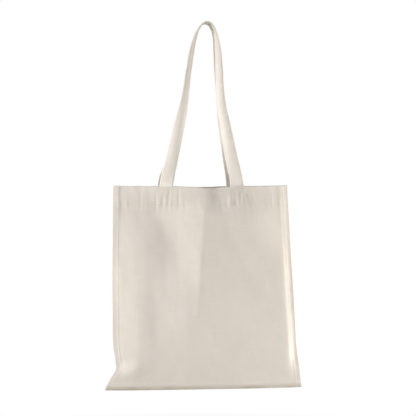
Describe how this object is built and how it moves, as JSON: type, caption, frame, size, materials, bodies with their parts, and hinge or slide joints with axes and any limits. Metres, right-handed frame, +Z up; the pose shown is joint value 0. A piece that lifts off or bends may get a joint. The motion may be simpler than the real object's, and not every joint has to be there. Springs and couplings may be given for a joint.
{
  "type": "canvas tote bag",
  "caption": "Open-topped cotton canvas tote bag of two sewn panels, with a turned hem and a pair of long strap handles that fold down over the mouth.",
  "frame": {"origin": "the point under the top of the two handle loops, where a hook or a hand holds the bag", "axes": "+Z up, -Y out of the front panel, +X to the right seen from the front"},
  "size_m": [0.38, 0.0604, 0.704],
  "materials": {
    "canvas": "matte",
    "strap": "matte",
    "thread": "matte"
  },
  "bodies": {
    "bag": {"front_panel": "canvas", "back_panel": "canvas", "front_hem_stitching": "thread", "back_hem_stitching": "thread", "left_side_seam": "canvas", "right_side_seam": "canvas", "bottom_seam": "canvas", "front_handle_ends": "strap", "back_handle_ends": "strap", "front_handle_box_stitching": "thread", "back_handle_box_stitching": "thread"},
    "front_handle_loop": {"front_handle": "strap", "front_handle_stitching": "thread"},
    "back_handle_loop": {"back_handle": "strap", "back_handle_stitching": "thread"}
  },
  "joints": [
    {"name": "front_handle_fold", "type": "hinge", "parent": "bag", "child": "front_handle_loop", "pos_m": [-0.008, -0.03093, -0.311], "axis": [1, 0, 0], "range_deg": [0, 170]},
    {"name": "back_handle_fold", "type": "hinge", "parent": "bag", "child": "back_handle_loop", "pos_m": [-0.008, 0.03093, -0.311], "axis": [-1, 0, 0], "range_deg": [0, 170]}
  ]
}
